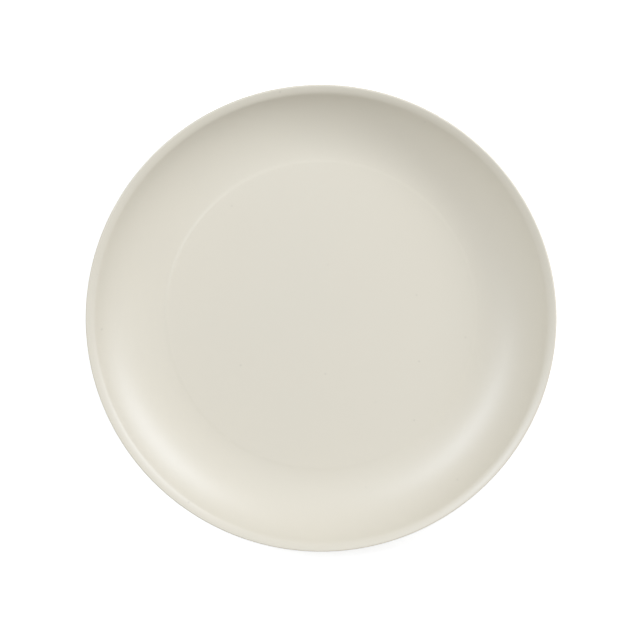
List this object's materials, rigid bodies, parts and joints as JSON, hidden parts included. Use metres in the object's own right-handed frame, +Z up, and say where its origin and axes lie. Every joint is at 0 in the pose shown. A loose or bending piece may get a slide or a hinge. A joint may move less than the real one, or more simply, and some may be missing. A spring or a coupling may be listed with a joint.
{
  "type": "dinner plate",
  "caption": "Round coupe dinner plate moulded in one piece: flat floor, upswept wall that rolls over into a narrow sloped land with rounded corners, and a low foot ring underneath.",
  "frame": {"origin": "centre of the foot ring, on the surface that the plate stands on", "axes": "+Z up along the plate's axis of symmetry, out of the open side; X and Y are level, and any direction round the axis is alike"},
  "size_m": [0.267, 0.267, 0.0265],
  "materials": {
    "plate_plastic": "satin moulded polypropylene, warm off-white"
  },
  "bodies": {
    "root": {"plate": "plate_plastic"}
  },
  "joints": []
}
